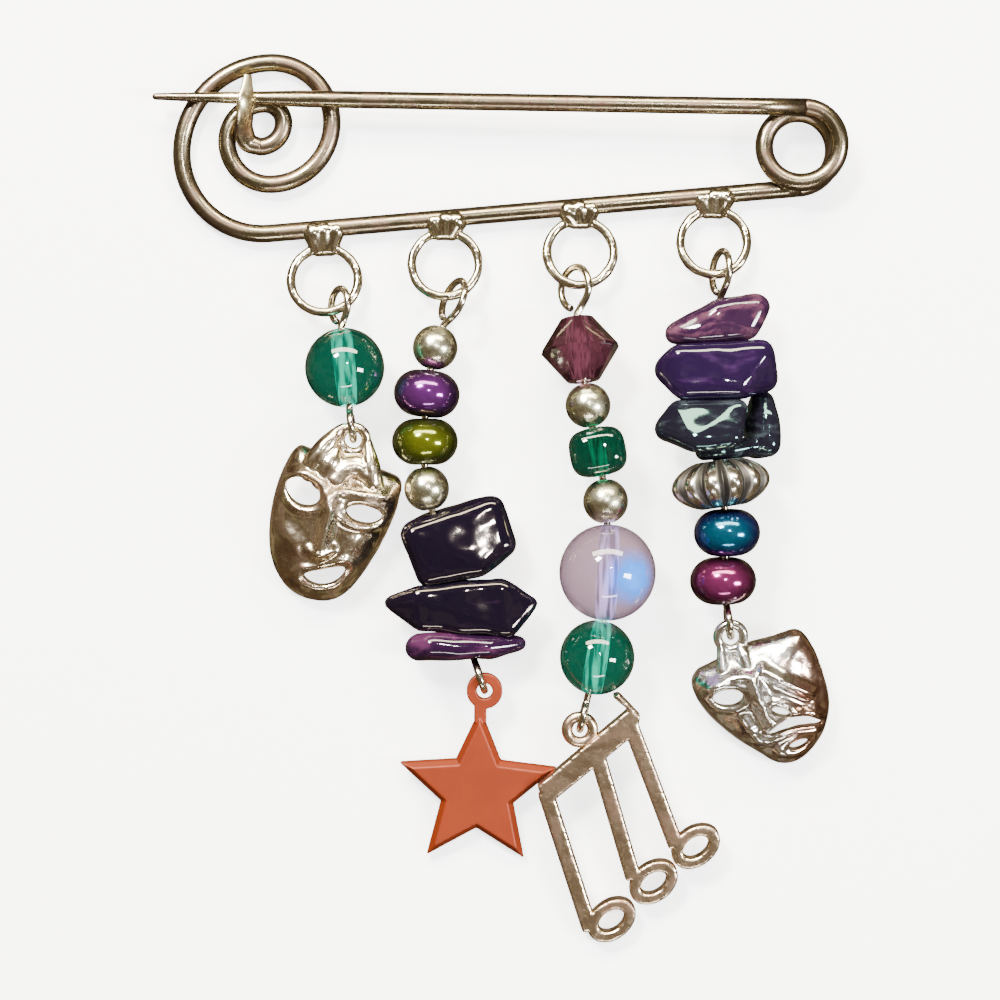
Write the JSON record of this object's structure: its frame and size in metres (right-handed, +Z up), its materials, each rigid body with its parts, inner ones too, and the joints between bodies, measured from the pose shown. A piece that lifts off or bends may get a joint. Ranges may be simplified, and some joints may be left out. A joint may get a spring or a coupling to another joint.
{
  "type": "safety pin brooch",
  "caption": "Coiled wire safety pin brooch with soldered rings carrying bead drops that end in mask, star and music note charms.",
  "frame": {"origin": "on the surface that the brooch lies on, under the middle of its length and its height", "axes": "+Y from the lowest charm towards the pin, +X along the pin from its point to its coil, +Z up off the surface"},
  "size_m": [0.058, 0.0744, 0.0082],
  "materials": {
    "silver_wire": "warm, slightly tarnished polished silver wire",
    "eye_pin_wire": "bright silver wire",
    "silver_bead": "polished silver, a little dulled",
    "cast_silver": "shiny cast silver plate with warm reflections",
    "antique_silver": "antiqued silver, dark in the flutes",
    "copper": "brushed copper",
    "teal_glass": "clear teal-green glass",
    "dark_green_glass": "clear dark green glass",
    "lavender_glass": "clear lavender glass with a blue sheen",
    "mauve_glass": "clear mauve glass, cut",
    "purple_seed_glass": "dark glass with a purple metallic coat",
    "olive_seed_glass": "dark glass with an olive-green metallic coat",
    "blue_seed_glass": "dark glass with a blue-green metallic coat",
    "plum_seed_glass": "dark glass with a plum metallic coat",
    "dark_amethyst": "tumbled near-black purple stone, glossy",
    "plum_amethyst": "tumbled plum stone, glossy",
    "pale_amethyst": "tumbled pinkish purple stone, glossy",
    "violet_amethyst": "tumbled violet stone, glossy",
    "grey_amethyst": "tumbled dark grey-purple stone, glossy"
  },
  "bodies": {
    "brooch": {"frame_wire": "silver_wire", "spring_coil": "silver_wire", "drop1_wire": "eye_pin_wire", "drop1_green_bead": "teal_glass", "smiling_mask": "cast_silver", "drop2_wire": "eye_pin_wire", "drop2_silver_bead_top": "silver_bead", "drop2_purple_seed": "purple_seed_glass", "drop2_olive_seed": "olive_seed_glass", "drop2_silver_bead_low": "silver_bead", "drop2_chip_top": "dark_amethyst", "drop2_chip_mid": "dark_amethyst", "drop2_chip_low": "plum_amethyst", "copper_star": "copper", "drop3_wire": "eye_pin_wire", "drop3_bicone": "mauve_glass", "drop3_silver_bead_top": "silver_bead", "drop3_cube_bead": "dark_green_glass", "drop3_silver_bead_low": "silver_bead", "drop3_lavender_bead": "lavender_glass", "drop3_green_bead": "teal_glass", "music_notes": "cast_silver", "drop4_wire": "eye_pin_wire", "drop4_chip_top": "pale_amethyst", "drop4_chip_mid": "violet_amethyst", "drop4_chip_low": "grey_amethyst", "drop4_chip_side": "grey_amethyst", "drop4_rondelle": "antique_silver", "drop4_blue_seed": "blue_seed_glass", "drop4_plum_seed": "plum_seed_glass", "frowning_mask": "cast_silver"},
    "stem": {"pin_stem": "silver_wire"}
  },
  "joints": [
    {"name": "stem_swing", "type": "hinge", "parent": "brooch", "child": "stem", "pos_m": [0.0253, 0.0294, 0], "axis": [0, 0, -1], "range_deg": [0, 20], "stiffness_Nm_per_rad": 0.002, "deforming": ["spring_coil"]}
  ]
}
